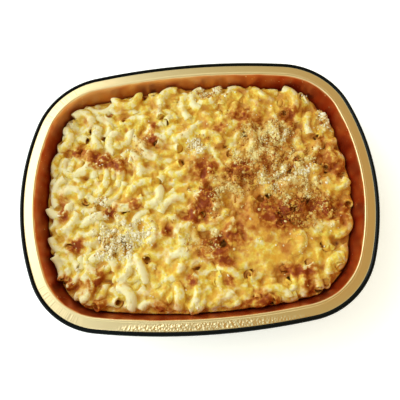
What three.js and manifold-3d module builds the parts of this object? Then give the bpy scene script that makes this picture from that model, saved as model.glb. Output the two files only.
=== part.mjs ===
// Baked macaroni and cheese in its smooth-walled foil tray.
// Millimetres, +Z up. The origin lies on the surface that the tray stands on, under the tray's
// centre; X runs along the tray, and -Y is the side that faces the diner.
import * as THREE from "three";
import { mergeVertices } from "three/addons/utils/BufferGeometryUtils.js";
import Module from "manifold-3d";

// ---------------------------------------------------------------- driving dimensions

const RIM = {
  halfLength: 108,
  halfWidth: 84.6,
  cornerRadius: 47.6,
  longSideRadius: 425,
  shortSideRadius: 144,
};
const TRAY_HEIGHT = 45;
const FOIL = 0.6; // sturdier than the real foil, which is about 0.2
const BEAD_WIDTH = 2.6; // the curled outer edge
const BEAD_HEIGHT = 2.8;
const FLANGE_WIDTH = 5.6; // the flat gold sealing face inside the bead
const FLANGE_DROP = 0.7; // from the bead's top down to the flange
const RIDGE_HEIGHT = 0.35; // the raised line where the flange meets the wall
const RIDGE_WIDTH = 1.0;
const WALL_SLOPE = 0.2; // run per unit of depth
const FLOOR_FILLET = 9;
const PANEL_INSET = 36; // from the rim's outline to the raised panel in the floor
const PANEL_RISE = 0.8;
const PANEL_STEP = 2;
const GAP = 0.4; // between the food and the foil

const TUBE_RADIUS = 3.0; // of a cooked elbow
const BORE_SHARE = 0.56; // the bore's radius over the tube's
const BORE_DEPTH = 2.2; // how deep each open end is cut, as a cone
const SUNKEN_ELBOWS = 90; // laid first, and covered by the mass
const STANDING_ELBOWS = 115; // laid last, and standing out of it
const HEAP_SEED = 29;

// ---------------------------------------------------------------- the oval rim

const squared = (value) => value * value;

// Where the circle about a meets the circle about b, on the side of larger y.
function circlesMeet(a, radiusA, b, radiusB) {
  const between = a.distanceTo(b);
  const along = (squared(radiusA) - squared(radiusB) + squared(between)) / (2 * between);
  const across = Math.sqrt(squared(radiusA) - squared(along));
  const unit = b.clone().sub(a).divideScalar(between);
  const foot = a.clone().addScaledVector(unit, along);
  const left = new THREE.Vector2(-unit.y, unit.x);
  return foot.addScaledVector(left, left.y > 0 ? across : -across);
}

// Three tangent arcs make each quarter of the rim: short side, corner, long side. An inset
// outline keeps their centres and only shortens their radii.
const SHORT_CENTRE = new THREE.Vector2(RIM.halfLength - RIM.shortSideRadius, 0);
const LONG_CENTRE = new THREE.Vector2(0, RIM.halfWidth - RIM.longSideRadius);
const CORNER_CENTRE = circlesMeet(
  LONG_CENTRE,
  RIM.longSideRadius - RIM.cornerRadius,
  SHORT_CENTRE,
  RIM.shortSideRadius - RIM.cornerRadius,
);
const SHORT_JOIN = CORNER_CENTRE.clone().sub(SHORT_CENTRE).angle();
const LONG_JOIN = CORNER_CENTRE.clone().sub(LONG_CENTRE).angle();

// The arc of the first quarter whose outward normal stands at this angle.
function arcAt(normal) {
  if (normal < SHORT_JOIN) return [SHORT_CENTRE, RIM.shortSideRadius];
  if (normal < LONG_JOIN) return [CORNER_CENTRE, RIM.cornerRadius];
  return [LONG_CENTRE, RIM.longSideRadius];
}

// The point of the outline, inset, whose outward normal stands at this angle.
function rimPoint(angle, inset) {
  const normal = Math.atan2(Math.abs(Math.sin(angle)), Math.abs(Math.cos(angle)));
  const [centre, radius] = arcAt(normal);
  const x = centre.x + (radius - inset) * Math.cos(normal);
  const y = centre.y + (radius - inset) * Math.sin(normal);
  return new THREE.Vector2(x * Math.sign(Math.cos(angle)), y * Math.sign(Math.sin(angle)));
}

// How far a point lies inside the rim's outline.
function depthInside(x, y) {
  const point = new THREE.Vector2(Math.abs(x), Math.abs(y));
  const fromCorner = point.clone().sub(CORNER_CENTRE);
  const turn = Math.atan2(fromCorner.y, fromCorner.x);
  if (turn > SHORT_JOIN && turn < LONG_JOIN) return RIM.cornerRadius - fromCorner.length();
  return Math.min(
    RIM.shortSideRadius - point.distanceTo(SHORT_CENTRE),
    RIM.longSideRadius - point.distanceTo(LONG_CENTRE),
  );
}

// Normal angles round the whole rim, closer together in the corners than along the sides.
function anglesRound(shortSteps, cornerSteps, longSteps) {
  const quarter = [];
  const stretch = (from, to, steps) => {
    for (let i = 0; i < steps; i++) quarter.push(from + ((to - from) * i) / steps);
  };
  stretch(0, SHORT_JOIN, shortSteps);
  stretch(SHORT_JOIN, LONG_JOIN, cornerSteps);
  stretch(LONG_JOIN, Math.PI / 2, longSteps);
  const mirrored = [Math.PI / 2, ...quarter.slice(1).reverse()].map((a) => Math.PI - a);
  const half = [...quarter, ...mirrored];
  return [...half, ...half.map((a) => a + Math.PI)];
}

// A lathe's turns moved onto the oval. Each profile point is (inset, height), and an inset of
// AXIS is the middle of the tray. lift(x, y, z) may raise a point.
const AXIS = RIM.halfLength;
function sweptRound(profile, angles, lift = (x, y, z) => z) {
  const points = profile.map(([inset, z]) => new THREE.Vector2(AXIS - inset, z));
  const geometry = new THREE.LatheGeometry(points, angles.length);
  const position = geometry.getAttribute("position");
  for (let i = 0; i < position.count; i++) {
    const [inset, z] = profile[i % profile.length];
    const angle = angles[Math.floor(i / profile.length) % angles.length];
    const { x, y } = inset === AXIS ? new THREE.Vector2() : rimPoint(angle, inset);
    position.setXYZ(i, x, y, lift(x, y, z));
  }
  return geometry;
}

// ---------------------------------------------------------------- the foil tray

const FLANGE_TOP = TRAY_HEIGHT - FLANGE_DROP;
const WALL_TOP_INSET = BEAD_WIDTH + FLANGE_WIDTH;
const WALL_TOP = FLANGE_TOP - 1.2;
const INNER_FLOOR = FOIL;

// Inset of the tray's inner wall at a height above its fillet.
const wallInset = (z) => WALL_TOP_INSET + RIDGE_WIDTH + (WALL_TOP - z) * WALL_SLOPE;

// Points of the rounded corner between a sloping wall and the floor. out moves it outwards
// and down, square to the foil.
const LEAN = Math.atan(WALL_SLOPE);
function floorFillet(out, steps) {
  const radius = FLOOR_FILLET + out;
  const centreZ = INNER_FLOOR + FLOOR_FILLET;
  const wallReach = FLOOR_FILLET / Math.cos(LEAN);
  const centreInset = wallInset(centreZ) + wallReach;
  const points = [];
  for (let i = 0; i <= steps; i++) {
    const turn = ((Math.PI / 2 - LEAN) * i) / steps;
    points.push([centreInset - radius * Math.sin(turn), centreZ - radius * Math.cos(turn)]);
  }
  return points; // from the floor up to the wall
}

function trayGeometry() {
  const panel = (z, step) => [PANEL_INSET + step, z];
  const underside = FLANGE_TOP - FOIL;
  const middle = BEAD_WIDTH / 2;
  const bead = [];
  const BEAD_STEPS = 7;
  for (let i = 0; i <= BEAD_STEPS; i++) {
    const turn = -0.62 * Math.PI + (1.32 * Math.PI * i) / BEAD_STEPS;
    bead.push([
      middle - middle * Math.cos(turn),
      TRAY_HEIGHT - BEAD_HEIGHT / 2 + (BEAD_HEIGHT / 2) * Math.sin(turn),
    ]);
  }
  const outer = [
    [AXIS, PANEL_RISE],
    panel(PANEL_RISE, PANEL_STEP),
    panel(0, 0),
    ...floorFillet(FOIL, 3),
    [WALL_TOP_INSET + RIDGE_WIDTH - FOIL, WALL_TOP],
    [WALL_TOP_INSET, underside],
    [BEAD_WIDTH, underside],
  ];
  const inner = [
    [WALL_TOP_INSET - RIDGE_WIDTH, FLANGE_TOP],
    [WALL_TOP_INSET, FLANGE_TOP + RIDGE_HEIGHT],
    [WALL_TOP_INSET + RIDGE_WIDTH / 2, FLANGE_TOP],
    [WALL_TOP_INSET + RIDGE_WIDTH, WALL_TOP],
    ...floorFillet(0, 3).reverse(),
    panel(INNER_FLOOR, 0),
    panel(INNER_FLOOR + PANEL_RISE, PANEL_STEP),
    [AXIS, INNER_FLOOR + PANEL_RISE],
  ];
  return sweptRound([...outer, ...bead, [BEAD_WIDTH, FLANGE_TOP], ...inner], anglesRound(3, 6, 3));
}

// ---------------------------------------------------------------- where the elbows lie

// Top of the food: nearly level, a little lower at the ends and fuller along the sides.
const moundTop = (x, y) => 37.2 - 1.8 * squared(x / 98) + squared(y / 75) - (0.7 * x) / 98;
const BED_DEPTH = 5.5; // from the mound's top down to what the elbows are dropped on

// Numbers from 0 up to 1 by a linear congruential generator, the same on every run.
let draw = HEAP_SEED;
function random() {
  draw = (draw * 1664525 + 1013904223) % 4294967296;
  return draw / 4294967296;
}
const between = (low, high) => low + (high - low) * random();

// How low a tube's centre can lie over what is there so far, one height per square millimetre.
const REACH_X = 112;
const REACH_Y = 90;
const COLUMNS = 2 * REACH_X + 1;
const ROWS = 2 * REACH_Y + 1;
const cellOf = (x, y) => {
  const column = Math.floor(x + 0.5) + REACH_X;
  const row = Math.floor(y + 0.5) + REACH_Y;
  return row * COLUMNS + column;
};
const resting = new Float64Array(COLUMNS * ROWS);
for (let y = -REACH_Y; y <= REACH_Y; y++) {
  for (let x = -REACH_X; x <= REACH_X; x++) {
    resting[cellOf(x, y)] = moundTop(x, y) - BED_DEPTH + TUBE_RADIUS;
  }
}

// Lifts the resting heights clear of a ball of tube.
const SQUEEZE = 0.65; // soft tubes settle into each other
function layBall({ x, y, z }) {
  const clear = 2 * TUBE_RADIUS * SQUEEZE;
  for (let v = Math.floor(y - clear); v <= y + clear; v++) {
    for (let u = Math.floor(x - clear); u <= x + clear; u++) {
      const apart = squared(u - x) + squared(v - y);
      const cell = cellOf(u, v);
      const above = squared(clear) - apart;
      if (above > 0) resting[cell] = Math.max(resting[cell], z + Math.sqrt(above));
    }
  }
}

// An elbow is an arc of tube. `roll` tips the arc's plane about its chord, `yaw` turns it over
// the tray, and its lean follows what it lies on.
const PATH_POINTS = 7;
function elbowPath(elbow, share) {
  const { x, y, z, yaw, roll, length, bend, leanX, leanY } = elbow;
  const bendRadius = length / bend;
  const turn = (share - 0.5) * bend;
  const along = bendRadius * Math.sin(turn);
  const bow = bendRadius * (1 - Math.cos(turn)) - 0.4 * bendRadius * (1 - Math.cos(bend / 2));
  const across = bow * Math.cos(roll);
  const dx = along * Math.cos(yaw) - across * Math.sin(yaw);
  const dy = along * Math.sin(yaw) + across * Math.cos(yaw);
  const rise = bow * Math.sin(roll);
  return new THREE.Vector3(x + dx, y + dy, z + rise + leanX * dx + leanY * dy);
}

function pathPoints(elbow) {
  const points = [];
  for (let i = 0; i < PATH_POINTS; i++) points.push(elbowPath(elbow, i / (PATH_POINTS - 1)));
  return points;
}

// Leans an elbow by least squares to the heights under it, then lowers it until it touches.
const STIFFNESS = 60; // keeps the lean of a short or straight elbow small
function settle(elbow) {
  Object.assign(elbow, { z: 0, leanX: 0, leanY: 0 });
  let [xx, xy, yy, xz, yz, mean] = [STIFFNESS, 0, STIFFNESS, 0, 0, 0];
  const points = pathPoints(elbow);
  const drops = points.map((p) => resting[cellOf(p.x, p.y)] - p.z);
  for (const drop of drops) mean += drop / PATH_POINTS;
  points.forEach((p, i) => {
    const [dx, dy, dz] = [p.x - elbow.x, p.y - elbow.y, drops[i] - mean];
    xx += dx * dx;
    xy += dx * dy;
    yy += dy * dy;
    xz += dx * dz;
    yz += dy * dz;
  });
  const determinant = xx * yy - xy * xy;
  elbow.leanX = (yy * xz - xy * yz) / determinant;
  elbow.leanY = (xx * yz - xy * xz) / determinant;
  let lift = -Infinity;
  for (const p of pathPoints(elbow)) lift = Math.max(lift, resting[cellOf(p.x, p.y)] - p.z);
  elbow.z = lift - elbow.sink;
}

// How far an elbow's highest point stands above the mound.
function standsOut(elbow) {
  const top = Math.max(...pathPoints(elbow).map((p) => p.z)) + TUBE_RADIUS;
  return top - moundTop(elbow.x, elbow.y);
}

// How far a tube about a point would have to move in to clear the foil wall.
const WALL_CLEARANCE = 0.4;
function shortOfClear({ x, y, z }) {
  return wallInset(z) + TUBE_RADIUS + WALL_CLEARANCE - depthInside(x, y);
}

// Moves an elbow that reaches into the wall straight away from it.
const WALL_SLACK = 0.2;
function slideIn(elbow) {
  const worse = (a, b) => (shortOfClear(b) > shortOfClear(a) ? b : a);
  const worst = pathPoints(elbow).reduce(worse);
  const push = Math.max(shortOfClear(worst) + WALL_SLACK, 0);
  const { x, y } = worst;
  elbow.x += (push * (depthInside(x + 1, y) - depthInside(x - 1, y))) / 2;
  elbow.y += (push * (depthInside(x, y + 1) - depthInside(x, y - 1))) / 2;
}

const fitsTray = (elbow) => pathPoints(elbow).every((p) => shortOfClear(p) < 0);

// A random elbow: most lie flat, some hump up, and some stand with both ends up.
function newElbow() {
  const elbow = {
    x: between(-98, 98),
    y: between(-76, 76),
    z: 0,
    yaw: between(0, 2 * Math.PI),
    roll: between(-0.45, 0.45),
    length: between(16, 22),
    bend: between(1.2, 2.9),
    leanX: 0,
    leanY: 0,
    sink: 0.7,
    endsUp: false,
  };
  const posture = random();
  if (posture > 0.86) {
    elbow.roll += 1.35;
    elbow.sink = 2.6;
    elbow.endsUp = true;
  } else if (posture > 0.68) {
    elbow.roll -= 1.2;
    elbow.sink = 1.4;
  }
  return elbow;
}

// Drops elbows one after another, each into the lowest of a few places tried at random.
const TRIES = 300;
function dropElbows(count) {
  const laid = [];
  while (laid.length < count) {
    let best = null;
    let lowest = Infinity;
    for (let i = 0; i < TRIES; i++) {
      const elbow = newElbow();
      settle(elbow);
      slideIn(elbow);
      settle(elbow);
      const height = standsOut(elbow);
      if (height < lowest && fitsTray(elbow)) {
        best = elbow;
        lowest = height;
      }
    }
    if (!best) continue;
    pathPoints(best).forEach(layBall);
    laid.push(best);
  }
  return laid;
}

// ---------------------------------------------------------------- the macaroni

// A short tube, made straight and then bent along its elbow's path. Its bore is cut where both
// ends look up.
const TUBE_SIDES = 5;
const TUBE_STEPS = 3;
const PATH_STEP = 0.01; // share of the length over which a direction is taken
function elbowGeometry(elbow) {
  const half = elbow.length / 2;
  const bore = TUBE_RADIUS * BORE_SHARE;
  const pit = half - BORE_DEPTH;
  const wall = [];
  for (let i = 0; i <= TUBE_STEPS; i++) wall.push([TUBE_RADIUS, half * ((2 * i) / TUBE_STEPS - 1)]);
  const profile = elbow.endsUp
    ? [[0, -pit], [bore, -half], ...wall, [bore, half], [0, pit]]
    : [[0, -half], ...wall, [0, half]];
  const points = profile.map(([radius, along]) => new THREE.Vector2(radius, along));
  const geometry = new THREE.LatheGeometry(points, TUBE_SIDES);
  const position = geometry.getAttribute("position");
  const planeNormal = new THREE.Vector3(
    Math.sin(elbow.roll) * Math.sin(elbow.yaw),
    -Math.sin(elbow.roll) * Math.cos(elbow.yaw),
    Math.cos(elbow.roll),
  );
  for (let i = 0; i < position.count; i++) {
    const share = 0.5 + position.getY(i) / elbow.length;
    const centre = elbowPath(elbow, share);
    const tangent = elbowPath(elbow, share + PATH_STEP)
      .sub(elbowPath(elbow, share - PATH_STEP))
      .normalize();
    const side = tangent.clone().cross(planeNormal).normalize();
    const up = side.clone().cross(tangent);
    centre.addScaledVector(side, position.getX(i)).addScaledVector(up, position.getZ(i));
    position.setXYZ(i, centre.x, centre.y, centre.z);
  }
  return geometry;
}

// The mass that the whole elbows stand out of: it fills the tray, clear of the foil.
const CORE_SINK = 1.5; // from the mound's top down to the core's
const CORE_RINGS = [3, 21, 40, 56]; // from the wall inwards
const coreTop = (x, y) => moundTop(x, y) - CORE_SINK;
function coreGeometry() {
  const floor = INNER_FLOOR + PANEL_RISE + GAP;
  const edge = 32;
  const gap = ([inset, z]) => [inset + GAP, Math.max(z + GAP, floor)];
  const side = [...floorFillet(0, 3).map(gap), gap([wallInset(edge), edge])];
  const inset = wallInset(edge) + 2 * GAP;
  const profile = [[AXIS, floor], ...side];
  for (const ring of CORE_RINGS) profile.push([inset + ring, TRAY_HEIGHT]);
  profile.push([AXIS, TRAY_HEIGHT]);
  const lift = (x, y, z) => (z === TRAY_HEIGHT ? coreTop(x, y) : z);
  return sweptRound(profile, anglesRound(2, 4, 3), lift);
}

// ---------------------------------------------------------------- joining solids

const wasm = await Module();
wasm.setup();

const SAME_POINT = 1e-3; // vertices this close are one
function solidOf(geometry) {
  geometry.deleteAttribute("normal");
  geometry.deleteAttribute("uv");
  const merged = mergeVertices(geometry, SAME_POINT);
  return new wasm.Manifold(
    new wasm.Mesh({
      numProp: 3,
      vertProperties: new Float32Array(merged.getAttribute("position").array),
      triVerts: new Uint32Array(merged.index.array),
    }),
  );
}

function geometryOf(solid) {
  const mesh = solid.getMesh();
  const geometry = new THREE.BufferGeometry();
  geometry.setAttribute("position", new THREE.BufferAttribute(mesh.vertProperties, 3));
  geometry.setIndex(new THREE.BufferAttribute(mesh.triVerts, 1));
  return geometry;
}

// The largest body of a solid, so that a sealed hollow is filled and a loose scrap dropped.
function largestBody(solid) {
  return solid.decompose().sort((a, b) => b.volume() - a.volume())[0];
}

// All solids fused. Merging vertices can close a slit, so the result is sorted out twice.
function fused(solids) {
  const joined = largestBody(solids.reduce((whole, next) => whole.add(next)));
  return largestBody(solidOf(geometryOf(joined)));
}

function macaroniGeometry() {
  dropElbows(SUNKEN_ELBOWS);
  const standing = dropElbows(STANDING_ELBOWS).map(elbowGeometry);
  return geometryOf(fused([coreGeometry(), ...standing].map(solidOf)));
}

// ---------------------------------------------------------------- the part

function meshOf(name, geometry, colour, roughness, metalness) {
  const plain = geometry.index ? geometry.toNonIndexed() : geometry;
  plain.computeVertexNormals();
  const material = new THREE.MeshStandardMaterial({ color: colour, roughness, metalness });
  const mesh = new THREE.Mesh(plain, material);
  mesh.name = name;
  return mesh;
}

const part = new THREE.Group();
part.name = "mac_and_cheese";
part.add(meshOf("foil_tray", trayGeometry(), 0xb98a3c, 0.35, 1));
part.add(meshOf("macaroni", macaroniGeometry(), 0xdcb25a, 0.5, 0));

export default part;
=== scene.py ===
"""Baked macaroni and cheese in an oval foil tray, with a plain studio round it.

Shapes are worked out in millimetres and put into meshes in metres. Z is up, X runs along the
tray, and -Y is the side that faces the diner.
"""

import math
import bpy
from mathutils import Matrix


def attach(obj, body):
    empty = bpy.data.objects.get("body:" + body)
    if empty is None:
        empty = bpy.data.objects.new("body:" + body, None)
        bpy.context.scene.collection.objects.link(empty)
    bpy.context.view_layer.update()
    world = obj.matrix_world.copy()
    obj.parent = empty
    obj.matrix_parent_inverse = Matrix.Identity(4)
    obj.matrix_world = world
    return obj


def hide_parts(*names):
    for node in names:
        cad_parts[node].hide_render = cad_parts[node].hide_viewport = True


bl_info = {
    "name": "Baked Macaroni and Cheese",
    "version": (1, 0, 0),
    "blender": (4, 5, 0),
    "location": "3D View > Sidebar > Macaroni",
    "description": "A foil tray of baked elbow macaroni under melted cheese and toasted crumbs",
    "category": "Add Mesh",
}

from functools import lru_cache

import bpy
import numpy as np
from bpy.props import FloatProperty, FloatVectorProperty, IntProperty, PointerProperty

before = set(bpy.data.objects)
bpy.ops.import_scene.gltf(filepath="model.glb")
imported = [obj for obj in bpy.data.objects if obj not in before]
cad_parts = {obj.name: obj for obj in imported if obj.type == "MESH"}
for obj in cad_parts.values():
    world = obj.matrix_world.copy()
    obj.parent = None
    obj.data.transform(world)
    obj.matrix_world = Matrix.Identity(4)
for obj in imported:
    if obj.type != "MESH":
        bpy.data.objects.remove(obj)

MM = 0.001
TURN = 2 * math.pi


def linear(hex_colour):
    """The linear RGBA of an sRGB hex colour."""
    channels = [int(hex_colour[i : i + 2], 16) / 255 for i in (1, 3, 5)]
    curved = [c / 12.92 if c <= 0.04045 else ((c + 0.055) / 1.055) ** 2.4 for c in channels]
    return (*curved, 1.0)


# ---- the tray's outline

HALF_LENGTH = 108.0
HALF_WIDTH = 84.6
CORNER_RADIUS = 47.6
LONG_RADIUS = 425.0
SHORT_RADIUS = 144.0
TRAY_HEIGHT = 45.0
FOIL = 0.6
BEAD_WIDTH = 2.6
BEAD_HEIGHT = 2.8
FLANGE_WIDTH = 5.6
FLANGE_TOP = TRAY_HEIGHT - 0.7
RIDGE_HEIGHT = 0.35
RIDGE_WIDTH = 1.0
WALL_SLOPE = 0.2
WALL_TOP_INSET = BEAD_WIDTH + FLANGE_WIDTH
WALL_TOP = FLANGE_TOP - 1.2
FLOOR_FILLET = 9.0
PANEL_INSET = 36.0
PANEL_RISE = 0.8
PANEL_STEP = 2.0
GAP = 0.4
HAIR = 0.05  # keeps the smooth outline inside the faceted one
BEAD_TURN = (-0.62 * math.pi, 0.70 * math.pi)  # it curls from under the flange to on top of it
FLANGE_EDGES = (BEAD_WIDTH + 0.4, WALL_TOP_INSET - 1.1)  # its flat face lies between these insets
OUTLINE_STEPS = 2881
FINE_STEPS = 7201
TRAY_COLUMNS = 560


def circles_meet(a, radius_a, b, radius_b):
    """The upper point where the circle about a meets the circle about b."""
    apart = np.hypot(*(b - a))
    along = (radius_a**2 - radius_b**2 + apart**2) / (2 * apart)
    across = math.sqrt(radius_a**2 - along**2)
    unit = (b - a) / apart
    left = np.array([-unit[1], unit[0]])
    return a + unit * along + left * math.copysign(across, left[1])


SHORT_CENTRE = np.array([HALF_LENGTH - SHORT_RADIUS, 0.0])
LONG_CENTRE = np.array([0.0, HALF_WIDTH - LONG_RADIUS])
CORNER_CENTRE = circles_meet(
    LONG_CENTRE, LONG_RADIUS - CORNER_RADIUS, SHORT_CENTRE, SHORT_RADIUS - CORNER_RADIUS
)
SHORT_JOIN = math.atan2(*(CORNER_CENTRE - SHORT_CENTRE)[::-1])
LONG_JOIN = math.atan2(*(CORNER_CENTRE - LONG_CENTRE)[::-1])


def rim_points(angles, inset):
    """Points of the inset outline whose outward normals stand at these angles. Each quarter is
    three tangent arcs, for the short side, the corner and the long side, and an inset only
    shortens their radii."""
    angles, inset = np.broadcast_arrays(angles, inset)
    normal = np.arctan2(np.abs(np.sin(angles)), np.abs(np.cos(angles)))[..., None]
    arcs = [normal < SHORT_JOIN, normal < LONG_JOIN]
    centre = np.select(arcs, [SHORT_CENTRE, CORNER_CENTRE], LONG_CENTRE)
    radius = np.select(arcs, [SHORT_RADIUS, CORNER_RADIUS], LONG_RADIUS)
    ray = np.concatenate([np.cos(normal), np.sin(normal)], -1)
    side = np.stack([np.sign(np.cos(angles)), np.sign(np.sin(angles))], -1)
    return (centre + (radius - inset[..., None]) * ray) * side


def depth_inside(x, y):
    """How far points lie inside the outline: the arc's radius less the distance to its centre."""
    x, y = np.abs(x), np.abs(y)
    from_corner = np.hypot(x - CORNER_CENTRE[0], y - CORNER_CENTRE[1])
    turn = np.arctan2(y - CORNER_CENTRE[1], x - CORNER_CENTRE[0])
    from_sides = np.minimum(
        SHORT_RADIUS - np.hypot(x - SHORT_CENTRE[0], y - SHORT_CENTRE[1]),
        LONG_RADIUS - np.hypot(x - LONG_CENTRE[0], y - LONG_CENTRE[1]),
    )
    in_corner = (turn > SHORT_JOIN) & (turn < LONG_JOIN)
    return np.where(in_corner, CORNER_RADIUS - from_corner, from_sides)


def reach(bearings, inset):
    """How far the inset outline lies from the middle along rays at these bearings."""
    outline = rim_points(np.linspace(0, TURN, OUTLINE_STEPS), inset)
    bearing = np.unwrap(np.arctan2(outline[:, 1], outline[:, 0]))
    return np.interp(bearings % TURN, bearing, np.hypot(outline[:, 0], outline[:, 1]))


def wall_inset(z):
    """Inset of the inner wall at a height: it runs out by the slope for each unit of depth."""
    return WALL_TOP_INSET + RIDGE_WIDTH + (WALL_TOP - z) * WALL_SLOPE


# ---- surfaces and pieces


def grid_quads(rows, columns, close_rows=False, close_columns=False):
    """Quads between neighbouring points of a grid whose points are listed row by row."""
    row = np.arange(rows if close_rows else rows - 1)[:, None]
    column = np.arange(columns if close_columns else columns - 1)[None, :]
    next_row, next_column = (row + 1) % rows, (column + 1) % columns
    corners = ((row, column), (row, next_column), (next_row, next_column), (next_row, column))
    corners = np.broadcast_arrays(*(a * columns + b for a, b in corners))
    return np.stack(corners, -1).reshape(-1, 4)


def as_triangles(quads):
    """Each quad cut into two triangles along its first diagonal."""
    return np.concatenate([quads[:, [0, 1, 2]], quads[:, [0, 2, 3]]])


def fan(ring, middle):
    """Triangles between neighbouring points of a ring and one point in its middle."""
    return np.stack([np.roll(ring, -1), ring, np.full(len(ring), middle)], -1)


def polar(far, bearing):
    """x and y of points this far from the middle along these bearings."""
    return far * np.cos(bearing), far * np.sin(bearing)


def flat_row(numbers, kind=np.float32):
    """Numbers as one plain row, as a mesh takes them."""
    return np.ascontiguousarray(numbers, kind).ravel()


def add_piece(name, points, faces, materials, stands_for, values=None, uv=None):
    """Puts points in millimetres and faces into a smooth mesh. values holds a number for each
    point under each name, and uv a place for each face corner."""
    mesh = bpy.data.meshes.new(name)
    mesh.vertices.add(len(points))
    mesh.vertices.foreach_set("co", flat_row(points * MM))
    mesh.loops.add(faces.size)
    mesh.loops.foreach_set("vertex_index", flat_row(faces, np.int32))
    mesh.polygons.add(len(faces))
    mesh.polygons.foreach_set("loop_start", np.arange(0, faces.size, faces.shape[1]))
    mesh.shade_smooth()
    for label, numbers in (values or {}).items():
        mesh.attributes.new(label, "FLOAT", "POINT").data.foreach_set("value", flat_row(numbers))
    if uv is not None:
        mesh.uv_layers.new(name="Along").data.foreach_set("uv", flat_row(uv))
    for material in materials:
        mesh.materials.append(material)
    mesh.update(calc_edges=True)
    mesh.validate()
    piece = bpy.data.objects.new(name, mesh)
    bpy.context.scene.collection.objects.link(piece)
    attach(piece, "root")
    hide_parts(stands_for)
    return piece


def smoothstep(low, high, value):
    """0 below low and 1 above high, along the curve 3t^2 - 2t^3 between them."""
    t = np.clip((value - low) / (high - low), 0, 1)
    return t * t * (3 - 2 * t)


def blended(table, i, j, s, t):
    """Numbers between four neighbours in a table, by shares of the way to the next row and the
    next column. Past its last ones the table starts again."""
    rows, columns = table.shape
    i, j, k, m = i % rows, j % columns, (i + 1) % rows, (j + 1) % columns
    low = table[i, j] * (1 - s) + table[k, j] * s
    high = table[i, m] * (1 - s) + table[k, m] * s
    return low * (1 - t) + high * t


def value_noise(x, y, size, seed):
    """Smooth noise from -1 to 1: random numbers on a square lattice of this size, blended along
    smoothstep curves between the four nearest."""
    lattice = np.random.default_rng(seed).uniform(-1, 1, (256, 256))
    u, v = x / size + 128, y / size + 128
    i, j = np.floor(u).astype(int), np.floor(v).astype(int)
    return blended(lattice, i, j, smoothstep(0, 1, u - i), smoothstep(0, 1, v - j))


# ---- where the elbows lie

TUBE_RADIUS = 3.0
ELBOWS = 250
CARRIED = 205  # elbows that the solid shows; the rest fill the hollows between them
HOLLOW_SINK = 1.4  # how much deeper those in the hollows lie
HEAP_SEED = 29
BED_DEPTH = 5.5  # the first elbows lie on a bed this far below the mound's top
SQUEEZE = 0.65  # how far apart two tubes rest, as a share of their width
STIFFNESS = 60  # how firmly elbows stay level over uneven ground
TRIES = 300
WALL_CLEARANCE = 0.4
WALL_SLACK = 0.2
PATH_SHARES = np.linspace(0, 1, 7)
PATH_STEP = 0.01
REACH_X, REACH_Y = 112, 90  # half the map that the heap is laid on
# Limits of an elbow's x, y, yaw, roll, length, bend and posture, which says how it lies.
LEAST = np.array([-98, -76, 0, -0.45, 16, 1.2, 0])[:, None]
MOST = np.array([98, 76, TURN, 0.45, 22, 2.9, 1])[:, None]
HUMPED_FROM = 0.68  # postures from here up to the upright ones hump up
UPRIGHT_FROM = 0.86
UPRIGHT_FROM_IN_HOLLOWS = 0.5  # there more elbows stand, so that more bores look up
UPRIGHT_ROLL, HUMPED_ROLL = 1.35, -1.2
LYING_SINK, UPRIGHT_SINK, HUMPED_SINK = 0.7, 1.9, 0.7  # the last two come on top of the first


def mound_top(x, y):
    """Top of the food: a low mound, fuller at the left end and along both sides."""
    return 37.2 - 1.8 * (x / 98) ** 2 + 1.0 * (y / 75) ** 2 - 0.7 * x / 98


def cell_of(x, y):
    """Row and column of the square millimetre under a point."""
    return np.floor(y + 0.5).astype(int) + REACH_Y, np.floor(x + 0.5).astype(int) + REACH_X


def elbow_path(elbows, share=PATH_SHARES):
    """Points along elbows at shares of their length. Each is an arc of its bend, rolled about
    its chord, turned by its yaw and leaned like a sheared sheet."""
    e = {key: numbers[:, None] for key, numbers in elbows.items()}
    bend_radius = e["length"] / e["bend"]
    turn = (share - 0.5) * e["bend"]
    along = bend_radius * np.sin(turn)
    middle = 0.4 * bend_radius * (1 - np.cos(e["bend"] / 2))  # it is turned about its middle
    bow = bend_radius * (1 - np.cos(turn)) - middle
    across = bow * np.cos(e["roll"])
    dx = along * np.cos(e["yaw"]) - across * np.sin(e["yaw"])
    dy = along * np.sin(e["yaw"]) + across * np.cos(e["yaw"])
    rise = bow * np.sin(e["roll"])
    z = e["z"] + rise + e["lean_x"] * dx + e["lean_y"] * dy
    return np.stack([e["x"] + dx, e["y"] + dy, z], -1)


def draws(seed):
    """Numbers from 0 up to 1 by a linear congruential generator."""
    while True:
        seed = (seed * 1664525 + 1013904223) % 4294967296
        yield seed / 4294967296


def new_elbows(source, count, upright_from):
    """Random elbows: most lie flat, some hump up, and some stand with both ends up."""
    drawn = np.array([next(source) for _ in range(len(LEAST) * count)]).reshape(count, -1).T
    x, y, yaw, roll, length, bend, posture = LEAST + (MOST - LEAST) * drawn
    ends_up = posture > upright_from
    humped = (posture > HUMPED_FROM) & ~ends_up
    roll = roll + UPRIGHT_ROLL * ends_up + HUMPED_ROLL * humped
    sink = LYING_SINK + UPRIGHT_SINK * ends_up + HUMPED_SINK * humped
    return {"x": x, "y": y, "yaw": yaw, "roll": roll, "length": length, "bend": bend, "sink": sink}


def drop_under(path, resting):
    """How far the resting heights lie above points of paths."""
    return resting[cell_of(path[..., 0], path[..., 1])] - path[..., 2]


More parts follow.
